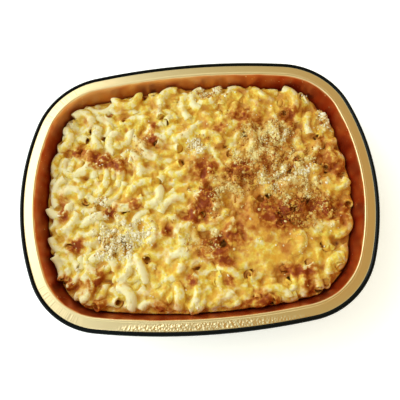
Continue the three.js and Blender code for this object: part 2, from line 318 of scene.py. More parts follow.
def settle(elbows, resting):
    """Leans elbows by least squares to the heights under them, then lowers each until it
    touches."""
    elbows = {**elbows, **dict.fromkeys(("z", "lean_x", "lean_y"), 0 * elbows["x"])}
    path = elbow_path(elbows)
    drop = drop_under(path, resting)
    dx, dy = path[..., 0] - elbows["x"][:, None], path[..., 1] - elbows["y"][:, None]
    dz = drop - drop.mean(1, keepdims=True)
    xx, yy, xy = STIFFNESS + (dx * dx).sum(1), STIFFNESS + (dy * dy).sum(1), (dx * dy).sum(1)
    xz, yz = (dx * dz).sum(1), (dy * dz).sum(1)
    determinant = xx * yy - xy * xy
    elbows["lean_x"] = (yy * xz - xy * yz) / determinant
    elbows["lean_y"] = (xx * yz - xy * xz) / determinant
    lift = drop_under(elbow_path(elbows), resting).max(1)
    return {**elbows, "z": lift - elbows["sink"]}


def past_wall(path):
    """How far points of paths reach past the tubes' clearance from the wall."""
    clear = wall_inset(path[..., 2]) + TUBE_RADIUS + WALL_CLEARANCE
    return clear - depth_inside(path[..., 0], path[..., 1])


def slide_in(elbows):
    """Moves elbows that reach into the wall straight away from it, to where they clear it."""
    path = elbow_path(elbows)
    over = past_wall(path)
    worst = np.argmax(over, 1)[:, None]
    x, y = np.take_along_axis(path[..., 0], worst, 1), np.take_along_axis(path[..., 1], worst, 1)
    push = np.maximum(np.take_along_axis(over, worst, 1) + WALL_SLACK, 0)
    dx = (depth_inside(x + 1, y) - depth_inside(x - 1, y)) / 2
    dy = (depth_inside(x, y + 1) - depth_inside(x, y - 1)) / 2
    return {**elbows, "x": elbows["x"] + (push * dx)[:, 0], "y": elbows["y"] + (push * dy)[:, 0]}


def raise_over(heights, across, along, cell, centres, radius):
    """Raises heights to the tops of balls. Columns and rows of the heights stand this cell
    apart, at across and along."""
    reach_cells = int(radius / cell) + 1
    steps = np.arange(-reach_cells, reach_cells + 1)
    x, y, z = centres.T[..., None, None]
    columns = np.round((x - across[0]) / cell).astype(int) + steps
    rows = np.round((y - along[0]) / cell).astype(int) + steps[:, None]
    columns, rows = np.broadcast_arrays(columns, rows)
    apart = (across[columns] - x) ** 2 + (along[rows] - y) ** 2
    tops = z + np.sqrt(np.maximum(radius**2 - apart, 0))
    inside = apart < radius**2
    np.maximum.at(heights, (rows[inside], columns[inside]), tops[inside])


@lru_cache(maxsize=None)
def heap():
    """All elbows, the lower ones first. One after another they are dropped, each into the
    lowest of a few places tried at random. The last ones go deeper into the hollows that are
    left, and more of them stand up."""
    source = draws(HEAP_SEED)
    across, along = np.arange(-REACH_X, REACH_X + 1.0), np.arange(-REACH_Y, REACH_Y + 1.0)
    resting = mound_top(*np.meshgrid(across, along)) - BED_DEPTH + TUBE_RADIUS
    laid = []
    while len(laid) < ELBOWS:
        in_hollow = len(laid) >= CARRIED
        tried = new_elbows(source, TRIES, UPRIGHT_FROM_IN_HOLLOWS if in_hollow else UPRIGHT_FROM)
        tried["sink"] += HOLLOW_SINK * in_hollow
        tried = settle(slide_in(settle(tried, resting)), resting)
        path = elbow_path(tried)
        fits = (past_wall(path) < 0).all(1)
        stands_out = path[..., 2].max(1) - mound_top(tried["x"], tried["y"])
        best = np.argmin(np.where(fits, stands_out, np.inf))
        if fits[best]:
            raise_over(resting, across, along, 1, path[best], 2 * TUBE_RADIUS * SQUEEZE)
            laid.append({key: numbers[best] for key, numbers in tried.items()})
    return {key: np.array([elbow[key] for elbow in laid]) for key in laid[0]}


# ---- height maps of the food

CELL = 0.4
MAP_X = np.arange(-104, 104 + CELL / 2, CELL)
MAP_Y = np.arange(-82, 82 + CELL / 2, CELL)
GRID = np.meshgrid(MAP_X, MAP_Y)
SHELL = 0.5  # how far the sauce lies under the tubes' skin
BORE_SHARE = 0.6
TUBE_SHARES = np.linspace(0.06, 0.94, 19)  # balls along a tube stop short of its cut ends
SKIN_SHARES = np.linspace(0.1, 0.9, 19)
LEVEL_DROP = 1.2  # the food's level lies no further than this below the mound
LEVEL_BALL = 6.0  # this ball, rolled over the tubes, gives the food's level
FILLET_BALL = 2.2  # and this one the fillets of sauce between them
LEVEL_BLUR, TOPS_BLUR, SAUCE_BLUR, MELTED_BLUR = 3.0, 2.2, 0.5, 1.6
SAUCE_DEPTH = 3.3  # how far below the level the sauce stands
BLANKET_RISE = 2.3  # how much less where melted cheese blankets it
MELTED_RISE = 1.5  # and less again where the cheese melted into a sheet
DITCH_DEPTH = 2.2  # how much more along the wall
DITCH_INSETS = (14.5, 12.5)  # the ditch along the wall starts and is whole at these
GAP_DEPTH = 7
HOLE_DEPTH = 5.0  # how deep an open bore goes
HOLE_SHARE = 0.8  # its radius as a share of the tube's
LOOKS_UP = 0.35  # the least rise in the heading of an end that looks up
BURIED_FROM = 0.45  # the sheet buries ends where it is this strong


def sample(height_map, x, y):
    """Heights at points, blended between the four nearest cells."""
    u = np.clip((x - MAP_X[0]) / CELL, 0, len(MAP_X) - 1.001)
    v = np.clip((y - MAP_Y[0]) / CELL, 0, len(MAP_Y) - 1.001)
    i, j = u.astype(int), v.astype(int)
    return blended(height_map.T, i, j, u - i, v - j)


def ball_offsets(radius):
    """Cells under a ball and how high its surface stands over its centre at each."""
    reach_cells = int(radius / CELL)
    v, u = np.mgrid[-reach_cells : reach_cells + 1, -reach_cells : reach_cells + 1]
    left = radius**2 - (u**2 + v**2) * CELL**2
    inside = left > 0
    return list(zip(v[inside], u[inside], np.sqrt(left[inside])))


def tube_tops(elbows, radius, shares):
    """Upper envelope of balls of this radius carried along the elbows."""
    heights = mound_top(*GRID) - BED_DEPTH
    centres = elbow_path(elbows, shares).reshape(-1, 3)
    raise_over(heights, MAP_X, MAP_Y, CELL, centres, radius)
    return heights


def rolled_over(heights, radius):
    """What a ball of this radius, rolled over a height map, can't touch is filled: the highest
    ball centres over each cell, then the lowest undersides of those balls."""
    centres = np.full_like(heights, -np.inf)
    for dv, du, rise in ball_offsets(radius):
        centres = np.maximum(centres, np.roll(heights, (dv, du), (0, 1)) + rise)
    filled = np.full_like(heights, np.inf)
    for dv, du, rise in ball_offsets(radius):
        filled = np.minimum(filled, np.roll(centres, (dv, du), (0, 1)) - rise)
    return filled


def softened(height_map, spread):
    """A height map blurred by a Gaussian of this spread, down its columns and then, with rows
    and columns swapped, down its rows."""
    cells = int(3 * spread / CELL) + 1
    weight = np.exp(-0.5 * (np.arange(-cells, cells + 1) * CELL / spread) ** 2)
    weight /= weight.sum()
    for _ in range(2):
        padded = np.pad(height_map, [(cells, cells), (0, 0)], "edge")
        height_map = sum(w * padded[i : i + len(height_map)] for i, w in enumerate(weight)).T
    return height_map


def patches(x, y, places):
    """Sum of soft round patches, each given by its middle, its two half-widths and strength."""
    total = np.zeros_like(x)
    for across, along, half_x, half_y, strength in places:
        far = ((x - across) / half_x) ** 2 + ((y - along) / half_y) ** 2
        total += strength * np.exp(-far)
    return total


# Middle x and y, half-widths along x and y in millimetres, and strength.
BURNT = (
    (-77, 32, 6, 3, 1.0), (-61, 26, 7, 5, 1.1), (-48, 21, 8, 4, 0.9), (-28, 38, 5, 4, 1.0),
    (-24, 46, 3, 4, 0.6), (6, 15, 7, 6, 1.1), (28, 13, 7, 5, 1.1), (5, -3, 5, 8, 0.9),
    (-2, -15, 7, 5, 1.3), (-20, -24, 5, 3, 0.7), (42, -15, 9, 6, 0.8), (55, -20, 12, 8, 0.7),
    (70, -14, 9, 7, 0.5), (84, -17, 9, 8, 0.7), (22, -28, 8, 7, 0.7), (8, -36, 9, 7, 0.6),
    (14, -45, 5, 4, 0.5), (-76, -29, 5, 4, 1.0), (-83, -6, 3, 7, 0.9), (-54, -9, 4, 4, 0.9),
    (-38, -6, 5, 4, 0.6), (-62, -52, 4, 6, 0.9), (-80, -52, 8, 5, 0.8), (-7, -54, 4, 4, 0.8),
    (17, -56, 4, 3, 0.7), (57, -52, 10, 3, 0.9), (62, -62, 4, 6, 0.7), (33, -70, 10, 6, 0.8),
    (-25, -70, 8, 4, 0.8), (-63, -66, 8, 4, 0.8), (64, 48, 5, 6, 0.5), (34, 50, 9, 6, 0.5),
    (85, 20, 9, 7, 0.6), (88, 9, 6, 5, 0.7), (17, 42, 5, 3, 0.4), (45, 16, 10, 7, 0.4),
)
TOASTED = (
    (58, -14, 32, 11, 0.9), (50, 10, 30, 22, 0.6), (55, 40, 34, 14, 0.8), (10, -5, 14, 26, 0.5),
    (12, -34, 20, 12, 0.45), (-32, 34, 18, 12, 0.3), (-70, -50, 18, 10, 0.2),
)
CRUMBED = (
    (50, 14, 27, 19, 0.85), (66, -14, 19, 17, 0.7), (16, -2, 14, 16, 0.6), (48, 38, 22, 9, 0.6),
    (3, -31, 14, 9, 0.7), (-34, 33, 14, 10, 0.55), (1, 32, 12, 9, 0.45), (-52, -24, 16, 16, 0.55),
    (-62, -4, 10, 8, 0.4), (13, 66, 12, 5, 0.6), (87, 42, 8, 8, 0.7), (-20, -20, 12, 10, 0.25),
    (20, 52, 14, 8, 0.3),
)
PALE = (
    (13, 67, 11, 5, 0.9), (1, 30, 7, 6, 0.9), (55, 33, 14, 7, 0.8), (50, 6, 12, 10, 0.7),
    (-51, -29, 14, 13, 0.9), (-62, -5, 10, 8, 0.8), (-40, 30, 10, 8, 0.5), (88, 42, 8, 8, 1.0),
    (70, 8, 8, 7, 0.6), (-34, -22, 8, 10, 0.6),
)
BLANKETED = (
    (42, -40, 20, 11, 1.0), (36, -22, 16, 8, 0.9), (50, 10, 30, 22, 0.75), (8, 0, 12, 20, 0.5),
    (70, -14, 18, 18, 0.5), (0, 36, 22, 16, 0.5), (-20, -40, 20, 12, 0.55), (40, 44, 24, 10, 0.6),
)
MELTED = ((42, -40, 19, 10, 1.1), (34, -22, 13, 8, 0.8), (-30, -52, 12, 6, 0.6))
GAPS = (
    (-74, 60, 5, 3, 1.0), (-86, 49, 4, 4, 1.0), (-41, 57, 3, 3, 1.0), (-38, 44, 4, 3, 1.0),
    (-39, 16, 3, 3, 1.0), (-81, 7, 5, 3, 1.0), (-17, 57, 5, 4, 1.0), (22, 64, 4, 3, 1.0),
    (35, 51, 5, 3, 1.0), (91, 26, 3, 4, 1.0), (87, 19, 3, 4, 0.9), (81, 10, 4, 3, 0.9),
    (83, -36, 4, 4, 1.0), (74, -32, 4, 3, 1.0), (-42, -45, 3, 3, 1.0), (-76, -44, 4, 3, 1.0),
    (-57, -53, 4, 3, 1.0), (-58, -69, 5, 3, 1.0), (26, -53, 4, 3, 1.0), (38, -62, 4, 3, 1.0),
    (72, -54, 5, 3, 1.0), (-96, -4, 4, 15, 1.0), (-91, -40, 6, 7, 0.9), (94, -38, 5, 7, 1.0),
    (94, 23, 4, 6, 0.9), (72, 65, 7, 4, 0.8), (33, 71, 7, 4, 0.8), (58, -73, 12, 3, 0.8),
)
ORANGE = ((34, -21, 11, 7, 1.0), (58, -6, 10, 8, 0.5), (26, -12, 7, 9, 0.5))


def bores_looking_up(elbows):
    """Ends of elbows that face upwards, clear of the melted sheet."""
    found = []
    for share, outwards in ((0.0, -1), (1.0, 1)):
        ends = elbow_path(elbows, np.array([share]))[:, 0]
        before = elbow_path(elbows, np.array([share - outwards * 2 * PATH_STEP]))[:, 0]
        heading = (ends - before) / np.linalg.norm(ends - before, axis=1, keepdims=True)
        bare = patches(ends[:, 0], ends[:, 1], MELTED) < BURIED_FROM
        found.append(ends[(heading[:, 2] > LOOKS_UP) & bare])
    return np.concatenate(found)


@lru_cache(maxsize=None)
def food_maps():
    """Height maps of the food. The sauce fills what a small ball rolled over the tubes can't
    reach, and stands a little below the food's level: higher under melted cheese, lower along
    the wall, and not at all in the gaps. Bores that look up stay open, but for those under the
    sheet of cheese that melted smooth."""
    elbows = heap()
    tubes = tube_tops(elbows, TUBE_RADIUS, TUBE_SHARES)
    skin = tube_tops(elbows, TUBE_RADIUS - SHELL, SKIN_SHARES)
    level = np.maximum(rolled_over(tubes, LEVEL_BALL), mound_top(*GRID) - LEVEL_DROP)
    level = softened(level, LEVEL_BLUR)
    smeared = patches(*GRID, BLANKETED) + 0.55 * value_noise(*GRID, 8, 11)
    cover = smoothstep(-0.3, 0.4, smeared + 0.5 * value_noise(*GRID, 3.5, 17))
    holes = smoothstep(0.6, 0.8, value_noise(*GRID, 5, 12)) * (1 - cover)
    open_gaps = np.clip(patches(*GRID, GAPS), 0, 1) + holes
    ragged = depth_inside(*GRID) + 1.5 * value_noise(*GRID, 4, 15)
    ditch = smoothstep(*DITCH_INSETS, ragged) * (1 + value_noise(*GRID, 5, 18))
    below = SAUCE_DEPTH - BLANKET_RISE * cover + 0.7 * value_noise(*GRID, 7, 16)
    below = below + DITCH_DEPTH * ditch
    melted = smoothstep(0.2, 0.8, patches(*GRID, MELTED))
    filled = level - below + MELTED_RISE * melted
    filled = filled - GAP_DEPTH * smoothstep(0.25, 0.75, open_gaps)
    fillet = rolled_over(skin, FILLET_BALL) + cover * (SHELL + 0.35)
    sauce = np.maximum(fillet, filled)
    sauce = softened(sauce, SAUCE_BLUR) * (1 - melted) + softened(sauce, MELTED_BLUR) * melted
    lumps = value_noise(*GRID, 3.1, 13) + 0.8 * value_noise(*GRID, 1.6, 14)
    crumbed = np.clip(patches(*GRID, CRUMBED), 0, 1)
    sauce = sauce + lumps * (0.15 + 0.2 * cover + 0.35 * crumbed) * (1 - 0.6 * melted)
    for x, y, z in bores_looking_up(elbows):
        in_bore = np.hypot(GRID[0] - x, GRID[1] - y) < TUBE_RADIUS * HOLE_SHARE
        sauce = np.where(in_bore, np.minimum(sauce, z - HOLE_DEPTH), sauce)
    tops = np.maximum(tubes, sauce)
    return {"sauce": sauce, "tops": tops, "level": level, "near": softened(tops, TOPS_BLUR)}


def finish_values(x, y, z, own=0.0):
    """What the baking did at points of the food, each from 0 to about 1: how low a place lies
    among the tops and how close it is to the wall, whose colours are partly a richer sauce and
    partly painted shade, how golden, browned and orange it is, and how thick crumb dust lies on
    it. Golden grows to the right, partly as painted light that pales the side by the window, in
    hollows, partly as painted shade, and on the melted sheet, and own is added to it."""
    maps = food_maps()
    relief = z - sample(maps["level"], x, y)
    below = sample(maps["near"], x, y) - z
    mottle = value_noise(x, y, 5, 21) + 0.7 * value_noise(x, y, 2, 22)
    burnt = patches(x, y, BURNT) * (1 + 0.5 * mottle) * smoothstep(-4.5, -1.5, relief)
    toasted = patches(x, y, TOASTED) * (0.75 + 0.5 * value_noise(x, y, 4, 23))
    crumbs = patches(x, y, CRUMBED) * (1 + 0.5 * value_noise(x, y, 4, 24))
    melted = patches(x, y, MELTED)
    # Partly painted light: the food pales towards the window at the left and turns golden to the
    # right, besides the toasting there.
    golden = own - 0.1 + 0.2 * mottle + 0.3 * toasted + np.where(x < 0, 0.55, 0.35) * x / 90
    golden = golden + 0.4 * value_noise(x, y, 9, 26)
    # Partly painted light: golden grows where the food lies below the nearby tops, so the heights
    # stay pale as painted highlight and the hollows darken as painted shade, besides a richer sauce
    # there.
    golden = golden + 1.2 * smoothstep(-1.5, 1.5, below) + 0.4 * melted
    # Painted shade, partly a richer sauce: the hollow value grows where the food lies below its
    # level and below the nearby tops, and darkens the sauce there.
    crevice_sauce_and_shade = smoothstep(-2.8, -7.5, relief + 0.5 * value_noise(x, y, 1.8, 25))
    crevice_sauce_and_shade = crevice_sauce_and_shade + 0.6 * smoothstep(0.9, 3.0, below)
    browned = 1.2 * burnt + 0.36 * toasted * (0.8 + 0.4 * mottle) + 0.1 * melted
    return {
        # Painted shade along the wall as well, where the food meets it.
        "crevice_sauce_and_shade": np.maximum(crevice_sauce_and_shade, 0.4 * smoothstep(13.0, 11.4, depth_inside(x, y))),
        "golden": golden,
        "browned": np.clip(browned, 0, 1.3),
        "orange": np.clip(patches(x, y, ORANGE) * (1 + 0.4 * mottle), 0, 1),
        "crumbed": smoothstep(0.3, 0.75, crumbs) * smoothstep(-3, -1.5, relief),
    }


# ---- materials


def fill_inputs(tree, node, inputs):
    """Gives a node's inputs their values, or links them to the outputs that they come from."""
    for name, value in inputs.items():
        if isinstance(value, bpy.types.NodeSocket):
            tree.links.new(value, node.inputs[name])
        else:
            node.inputs[name].default_value = value


def add_node(tree, kind, inputs=None, **settings):
    """Adds a shader node with its settings, and fills its inputs."""
    made = tree.nodes.new(kind)
    for name, value in settings.items():
        setattr(made, name, value)
    fill_inputs(tree, made, inputs or {})
    return made


def new_material(name):
    """A material, the tree of its nodes, and the Principled shader in it."""
    material = bpy.data.materials.new(name)
    material.use_nodes = True
    return material, material.node_tree, material.node_tree.nodes["Principled BSDF"]


def sources(tree, carried, noises):
    """The outputs that a material starts from: the place on the object, numbers that the mesh
    carries, and fractal noises about 0.5, given by their lumps' millimetres and their detail."""
    found = {"place": add_node(tree, "ShaderNodeTexCoord").outputs["Object"]}
    for name in carried:
        found[name] = add_node(tree, "ShaderNodeAttribute", attribute_name=name).outputs["Fac"]
    for name, (size, detail) in noises.items():
        inputs = {"Vector": found["place"], "Scale": 1 / (size * MM), "Detail": detail}
        found[name] = add_node(tree, "ShaderNodeTexNoise", inputs).outputs["Fac"]
    return found


def work_out(tree, value, sums):
    """Adds an output for each row of a name, two factors and what is added to their product.
    Each of the three is a number, or the name of an output."""
    for name, *terms in sums:
        inputs = {place: value.get(term, term) for place, term in enumerate(terms)}
        value[name] = add_node(tree, "ShaderNodeMath", inputs, operation="MULTIPLY_ADD").outputs[0]


def layered(tree, value, ground, *layers):
    """Lays colours over a ground, each from none where its named value is low to all where it
    is high."""
    for colour, name, low, high in layers:
        inputs = {"Value": value[name], "From Min": low, "From Max": high}
        share = add_node(tree, "ShaderNodeMapRange", inputs).outputs["Result"]
        inputs = {"Factor": share, 6: ground, 7: (*colour, 1)}
        ground = add_node(tree, "ShaderNodeMix", inputs, data_type="RGBA").outputs[2]
    return ground


def finish_shader(tree, shader, height, depth, strength, inputs):
    """Gives the shader a relief of this depth in millimetres, and its other inputs."""
    relief = {"Height": height, "Distance": depth * MM, "Strength": strength}
    normal = add_node(tree, "ShaderNodeBump", relief).outputs["Normal"]
    fill_inputs(tree, shader, {"Normal": normal, **inputs})


def gold_foil(settings):
    """Aluminium foil under gold lacquer, rolled and then pressed: a warm satin metal with a fine
    pressed grain, hair lines across the flange at its left end and corners, darker partly as
    painted shade in their creases, creases at its front, and a baked-on layer down the wall
    whose dark orange also paints the gold and the food that the wall reflects, lighter at the
    back left as painted light."""
    material, tree, shader = new_material("gold_lacquered_foil")
    noises = {"grain": (0.35, 2), "drops": (2, 3)}
    value = sources(tree, ("film_and_painted_reflection", "stressed", "crinkled"), noises)
    along = add_node(tree, "ShaderNodeUVMap", uv_map="Along").outputs["UV"]
    rim = add_node(tree, "ShaderNodeSeparateXYZ", {"Vector": along}).outputs["X"]
    inputs = {"W": rim, "Scale": 1 / (1.0 * MM), "Detail": 6.0}
    hairs = add_node(tree, "ShaderNodeTexNoise", inputs, noise_dimensions="1D")
    inputs = {"Vector": value["place"], "Scale": 1 / (1.5 * MM)}
    folds = add_node(tree, "ShaderNodeTexVoronoi", inputs)
    value.update(hairs=hairs.outputs["Fac"], folds=folds.outputs["Distance"])
    sums = (
        ("lines", "hairs", "stressed", 0),
        ("relief", "lines", 5.0, "grain"),
        ("creases", "crinkled", 36.0, 0),
        ("relief", "folds", "creases", "relief"),
        ("clean", "film_and_painted_reflection", -0.28, 0.28),
    )
    work_out(tree, value, sums)
    colour = layered(
        tree, value, (*settings.gold, 1),
        # Partly painted reflection: the baked-on colours down the wall also stand for the gold and
        # the food that the wall reflects.
        (settings.thin_film_and_painted_reflection, "film_and_painted_reflection", 0, 0.55),
        (settings.film_and_painted_reflection, "film_and_painted_reflection", 0.55, 1),
        (settings.gold, "drops", 0.67, 0.75),
        # Partly painted shade: the hair lines are darker, standing for the shade in their fine
        # creases as well as stretched lacquer.
        (settings.hairs, "lines", 0.58, 0.85),
    )
    inputs = {
        "Base Color": colour,
        "Metallic": 0.95,
        "Roughness": settings.gold_roughness,
        "Coat Weight": value["clean"],
        "Coat Roughness": 0.32,
    }
    finish_shader(tree, shader, value["relief"], 0.03, 0.4, inputs)
    return material


def black_foil(settings):
    """Aluminium foil under black lacquer: a deep gloss with soft glints, broken by the small
    waves that curling leaves."""
    material, tree, shader = new_material("black_lacquered_foil")
    value = sources(tree, (), {"waves": (2.5, 3)})
    inputs = {"Base Color": (*settings.black, 1), "Roughness": 0.16, "IOR": 1.2}
    finish_shader(tree, shader, value["waves"], 0.12, 0.5, inputs)
    return material


def baked_food(name, settings, grain_size, roughness):
    """Cooked pasta and cheddar sauce: opaque, softly lit from within and satin with butter fat.
    The heights are creamy, partly as painted highlight, the sauce between them yellow to golden
    and darker in the hollows, partly as painted shade, and heat has browned the proud spots and
    toasted the crumb dust."""
    material, tree, shader = new_material(name)
    noises = {"grain": (grain_size, 4), "blotches": (4, 2), "flecks": (1.6, 2), "spots": (3, 4)}
    noises.update(fine_dust=(1.1, 5), wide_dust=(5, 4), drifts=(7, 3))
    value = sources(tree, ("crevice_sauce_and_shade", "golden", "browned", "orange", "crumbed"), noises)
    sums = (
        ("rich", "blotches", 4.2, "golden"),
        ("rich", "flecks", 1.8, "rich"),
        # Through golden, the dust's heat and the haze below take on its painted light: browner in
        # the hollows and to the right.
        ("heat", "golden", 0.12, -0.42),
        ("heat", "fine_dust", 0.9, "heat"),
        ("heat", "wide_dust", 0.9, "heat"),
        ("thick", "crumbed", 0.8, 0),
        ("uneven", "spots", 4.9, -1.4),
        ("haze", "golden", 0.22, -0.5),
        ("haze", "drifts", 1.6, "haze"),
        ("scorch", "browned", "uneven", "haze"),
    )
    work_out(tree, value, sums)
    # The pale ground and the yellow and golden layers are partly painted highlight on the heights
    # and the window side, and painted shade in the hollows.
    sauce = layered(
        tree, value, (*settings.cream_and_highlight, 1),
        (settings.yellow, "rich", 2.75, 3.5),
        (settings.golden, "rich", 3.5, 4.3),
        (settings.orange, "orange", 0, 1),
        # Painted shade: darker sauce in the hollows, partly richer, and darkest at the bottoms of
        # the gaps.
        (settings.crevice_sauce_and_shade, "crevice_sauce_and_shade", 0.1, 0.5),
        (settings.gap_shade, "crevice_sauce_and_shade", 0.55, 1.0),
    )
    dust = layered(
        tree, value, (*settings.dust_light, 1),
        (settings.dust_middle, "heat", 0.54, 0.72),
        (settings.dust_dark, "heat", 0.76, 0.96),
    )
    inputs = {"Factor": value["thick"], 6: sauce, 7: dust}
    dusted = add_node(tree, "ShaderNodeMix", inputs, data_type="RGBA").outputs[2]
    colour = layered(
        tree, value, dusted,
        (settings.toasted, "scorch", 0.36, 0.85),
        (settings.browned, "scorch", 0.62, 1.08),
        (settings.burnt, "scorch", 1.05, 1.65),
    )
    inputs = {
        "Base Color": colour,
        "Roughness": roughness,
        "Specular IOR Level": 0.15,
        "Subsurface Weight": 0.25,
        "Subsurface Radius": (0.8, 0.6, 0.3),
        "Subsurface Scale": 1.5 * MM,
    }
    finish_shader(tree, shader, value["grain"], 0.9, 0.55, inputs)
    return material


def breadcrumb(name, light, middle, dark):
    """Dry breadcrumb: rough and matt, each grain its own shade, browner where the oven caught
    it."""
    material, tree, shader = new_material(name)
    value = sources(tree, ("shade",), {"fine": (0.4, 4)})
    work_out(tree, value, [("mixed", "fine", 0.4, "shade")])
    layers = ((middle, "mixed", 0.2, 0.7), (dark, "mixed", 0.7, 1.2))
    colour = layered(tree, value, (*light, 1), *layers)
    inputs = {"Base Color": colour, "Roughness": 0.8, "Specular IOR Level": 0.15}
    finish_shader(tree, shader, value["fine"], 0.1, 0.3, inputs)
    return material


def colour_property(name, description, hex_colour):
    """A colour setting whose default is an sRGB hex colour."""
    default = linear(hex_colour)[:3]
    return FloatVectorProperty(
        name=name, description=description, default=default, subtype="COLOR", size=3, min=0, max=1
    )


LENGTH = {"unit": "LENGTH", "precision": 5}
SHARE = {"subtype": "FACTOR", "min": 0, "max": 1}


def number_property(name, description, default, **kind):
    """A number setting. kind says what the number measures."""
    return FloatProperty(name=name, description=description, default=default, **kind)


# ---- the tray


class TraySettings(bpy.types.PropertyGroup):
    """Sizes and colours of the foil tray."""

    crinkle: number_property(
        "Crinkles", "Height of the crinkles pressed into the front of the flange", 0.14 * MM,
        **LENGTH,
    )
    wobble: number_property(
        "Wobble", "How far the thin wall strays from its true shape", 0.18 * MM, **LENGTH
    )
    gold: colour_property("Gold", "Lacquer inside and on the flange", "#E6CC9A")
    # Partly painted reflection: these two lay on the wall the dark orange that it gets from
    # reflecting the gold and the food, as well as a baked-on layer.
    thin_film_and_painted_reflection: colour_property("Thin film", "Lacquer under a thin baked-on film", "#E09A60")
    film_and_painted_reflection: colour_property("Baked-on film", "Lacquer near the food", "#BC4A20")
    # Partly painted shade: the shade in the hair lines' creases, as well as stretched lacquer.
    hairs: colour_property("Hair lines", "Lacquer stretched over the corners", "#C8AE80")
    black: colour_property("Black", "Lacquer outside and on the rolled edge", "#050809")
    gold_roughness: number_property(
        "Gold roughness", "How widely the gold scatters its reflections", 0.34, **SHARE
    )


def fillet_profile(out, steps):
    """The rounded corner from the floor up to the wall, as (inset, height). A quarter turn less
    the wall's lean, moved outwards and down by out, square to the foil."""
    lean = math.atan(WALL_SLOPE)
    centre_z = FOIL + FLOOR_FILLET
    centre_inset = wall_inset(centre_z) + FLOOR_FILLET / math.cos(lean)
    turn = np.linspace(0, math.pi / 2 - lean, steps)
    radius = FLOOR_FILLET + out
    return np.stack([centre_inset - radius * np.sin(turn), centre_z - radius * np.cos(turn)], -1)


def straight_runs(points, steps):
    """Straight lines from each point to the next, in so many steps each, up to just before the
    last point."""
    runs = zip(points, points[1:], steps)
    return np.concatenate([np.linspace(*run, endpoint=False) for run in runs])


def tray_profile():
    """The foil's section, from the middle of the underside, out and round the bead, and back in
    to the middle of the floor. Also the row where the bead's black turns to gold."""
    middle, panel_edge = HALF_LENGTH, PANEL_INSET + PANEL_STEP
    under = FLANGE_TOP - FOIL
    turn = np.linspace(*BEAD_TURN, 22)
    bead_x = BEAD_WIDTH / 2 * (1 - np.cos(turn))
    bead_z = TRAY_HEIGHT - BEAD_HEIGHT / 2 + BEAD_HEIGHT / 2 * np.sin(turn)
    turn = np.linspace(0, math.pi, 7)[1:]
    ridge_x = WALL_TOP_INSET - RIDGE_WIDTH / 4 - 0.75 * RIDGE_WIDTH * np.cos(turn)
    ridge = np.stack([ridge_x, FLANGE_TOP + RIDGE_HEIGHT * np.sin(turn)], -1)
    ridge_foot = (WALL_TOP_INSET - RIDGE_WIDTH, FLANGE_TOP)
    shoulder = (WALL_TOP_INSET + RIDGE_WIDTH, WALL_TOP)
    outer_shoulder = (WALL_TOP_INSET + RIDGE_WIDTH - FOIL, WALL_TOP)
    outer_fillet, inner_fillet = fillet_profile(FOIL, 9), fillet_profile(0, 9)[::-1]
    raised, floor = PANEL_RISE, FOIL + PANEL_RISE
    underside = [(middle, raised), (panel_edge, raised), (PANEL_INSET, 0), outer_fillet[0]]
    outer_wall = [outer_fillet[-1], outer_shoulder, (WALL_TOP_INSET, under), (BEAD_WIDTH, under)]
    outside = [
        straight_runs(underside, (5, 2, 2)),
        outer_fillet[:-1],
        straight_runs(outer_wall, (8, 2, 3)),
        np.stack([bead_x, bead_z], -1),
    ]
    inside = [
        straight_runs([(BEAD_WIDTH, FLANGE_TOP), ridge_foot], [9]),
        [ridge_foot],
        ridge[:-1],
        straight_runs([ridge[-1], shoulder, inner_fillet[0]], (3, 16)),
        inner_fillet,
        straight_runs([(PANEL_INSET, FOIL), (panel_edge, floor), (middle, floor)], (2, 5)),
    ]
    return np.concatenate(outside + inside), sum(map(len, outside))


def rim_angles():
    """Normal angles round the rim, spread so that the columns stand evenly along it, and the
    rim's length."""
    fine = np.linspace(0, TURN, FINE_STEPS)
    outline = rim_points(fine, WALL_TOP_INSET)
    travelled = np.concatenate([[0], np.cumsum(np.hypot(*np.diff(outline, axis=0).T))])
    angles = np.interp(np.linspace(0, travelled[-1], TRAY_COLUMNS + 1), travelled, fine)
    return angles, travelled[-1]


